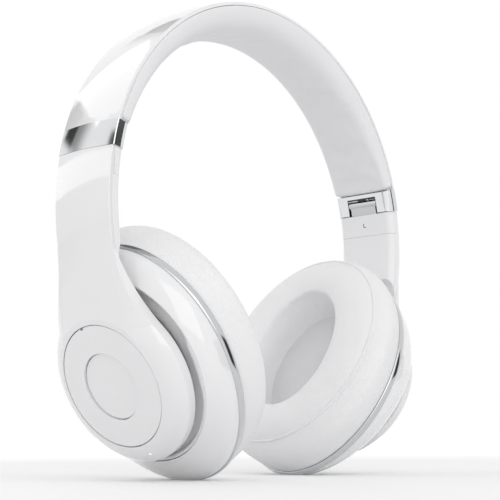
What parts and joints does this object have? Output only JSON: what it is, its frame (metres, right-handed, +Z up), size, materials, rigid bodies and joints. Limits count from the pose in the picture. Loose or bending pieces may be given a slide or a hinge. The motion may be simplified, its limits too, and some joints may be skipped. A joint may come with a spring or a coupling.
{
  "type": "over ear headphones",
  "caption": "Folding over-ear headphones with extending arms, tilting oval ear cups, soft cushions, a rocking volume disc and press buttons.",
  "frame": {"origin": "on the table under the middle of the whole, which stands on the lower edges of its cups", "axes": "+Z up to the headband, +X to the wearer's left, -Y to the front"},
  "size_m": [0.1754, 0.0922, 0.1862],
  "materials": {
    "battery": "foil pouch",
    "black_plastic": "fine texture",
    "black_rubber": "matte",
    "board": "solder mask",
    "chrome": "polished",
    "cloth": "fine woven mesh",
    "cushion_leather": "fine-grained soft leather",
    "gloss_white": "high gloss",
    "grey_metal": "fine bead-blasted",
    "lens": "clear over a white light",
    "matte_grey": "fine matte",
    "matte_white": "matte",
    "membrane": "thin film",
    "satin_white": "satin",
    "soft_white": "soft matte skin",
    "spring_steel": "spring temper",
    "steel": "ground"
  },
  "bodies": {
    "headband": {"headband_cover": "gloss_white", "headband_spring": "spring_steel", "headband_liner": "matte_white", "headband_pad": "soft_white", "hinge_block_R": "chrome", "hinge_block_L": "chrome", "hinge_pins": "steel", "hinge_stops": "black_rubber"},
    "hinge_R": {"hinge_lug_R": "grey_metal", "bracket_R": "satin_white", "slider_bar_R": "steel", "bracket_screws_R": "steel"},
    "hinge_L": {"hinge_lug_L": "grey_metal", "bracket_L": "satin_white", "slider_bar_L": "steel", "bracket_screws_L": "steel"},
    "arm_R": {"arm_outer_cover_R": "gloss_white", "arm_inner_cover_R": "satin_white", "hub_disc_R": "gloss_white", "centre_piece_R": "gloss_white", "indicator_lens_R": "lens"},
    "arm_L": {"arm_outer_cover_L": "gloss_white", "arm_inner_cover_L": "satin_white", "volume_pivot": "steel", "button_switches": "black_plastic", "play_guide": "black_plastic"},
    "volume_disc": {"volume_disc": "gloss_white"},
    "play_button": {"play_button": "gloss_white"},
    "power_button": {"power_button_R": "gloss_white"},
    "gimbal_R": {"gimbal_cross_R": "grey_metal"},
    "cup_R": {"cup_shell_R": "gloss_white", "chrome_ring_R": "chrome", "neck_cover_R": "matte_grey", "cup_frame_R": "matte_grey", "baffle_screws_R": "steel", "baffle_plate_R": "black_plastic", "driver_magnet_R": "grey_metal", "driver_frame_R": "black_plastic", "diaphragm_R": "membrane", "cushion_base_R": "black_plastic", "driver_cloth_R": "cloth", "ear_cushion_R": "cushion_leather", "circuit_board_R": "board", "usb_socket_R": "steel", "battery_R": "battery"},
    "gimbal_L": {"gimbal_cross_L": "grey_metal"},
    "cup_L": {"cup_shell_L": "gloss_white", "chrome_ring_L": "chrome", "neck_cover_L": "matte_grey", "cup_frame_L": "matte_grey", "baffle_screws_L": "steel", "baffle_plate_L": "black_plastic", "driver_magnet_L": "grey_metal", "driver_frame_L": "black_plastic", "diaphragm_L": "membrane", "cushion_base_L": "black_plastic", "driver_cloth_L": "cloth", "ear_cushion_L": "cushion_leather", "circuit_board_L": "board", "audio_socket_L": "black_plastic"}
  },
  "joints": [
    {"name": "fold_R", "type": "hinge", "parent": "headband", "child": "hinge_R", "pos_m": [-0.07993, -0.0039, 0.11788], "axis": [0, -1, 0], "range_deg": [0, 70]},
    {"name": "extend_R", "type": "slide", "parent": "hinge_R", "child": "arm_R", "axis": [0.0175, 0, 0.9998], "range_m": [-0.022, 0]},
    {"name": "tilt_R", "type": "hinge", "parent": "arm_R", "child": "gimbal_R", "pos_m": [-0.06252, -0.0039, 0.03678], "axis": [0, -1, 0], "range_deg": [-6, 0.3]},
    {"name": "turn_R", "type": "hinge", "parent": "gimbal_R", "child": "cup_R", "pos_m": [-0.06252, -0.0039, 0.03678], "axis": [-0.4772, 0, 0.8788], "range_deg": [-3.5, 6.1]},
    {"name": "fold_L", "type": "hinge", "parent": "headband", "child": "hinge_L", "pos_m": [0.07993, -0.0039, 0.11788], "axis": [0, -1, 0], "range_deg": [-70, 0]},
    {"name": "extend_L", "type": "slide", "parent": "hinge_L", "child": "arm_L", "axis": [0.0175, 0, -0.9998], "range_m": [0, 0.022]},
    {"name": "tilt_L", "type": "hinge", "parent": "arm_L", "child": "gimbal_L", "pos_m": [0.06252, -0.0039, 0.03678], "axis": [0, 1, 0], "range_deg": [-6, 0.3]},
    {"name": "turn_L", "type": "hinge", "parent": "gimbal_L", "child": "cup_L", "pos_m": [0.06252, -0.0039, 0.03678], "axis": [0.4772, 0, 0.8788], "range_deg": [-0.1, 9.5]},
    {"name": "volume_rock", "type": "hinge", "parent": "arm_L", "child": "volume_disc", "pos_m": [0.06933, -0.0039, 0.03364], "axis": [0, 1, 0], "range_deg": [-2, 2], "stiffness_Nm_per_rad": 0.4},
    {"name": "play_press", "type": "slide", "parent": "arm_L", "child": "play_button", "axis": [-0.9078, 0, 0.4195], "range_m": [0, 0.0006], "stiffness_N_per_m": 1500, "springref_m": -0.0003},
    {"name": "power_press", "type": "slide", "parent": "arm_R", "child": "power_button", "axis": [-0.4195, 0, 0.9078], "range_m": [0, 0.0004], "stiffness_N_per_m": 1500, "springref_m": -0.0003}
  ]
}
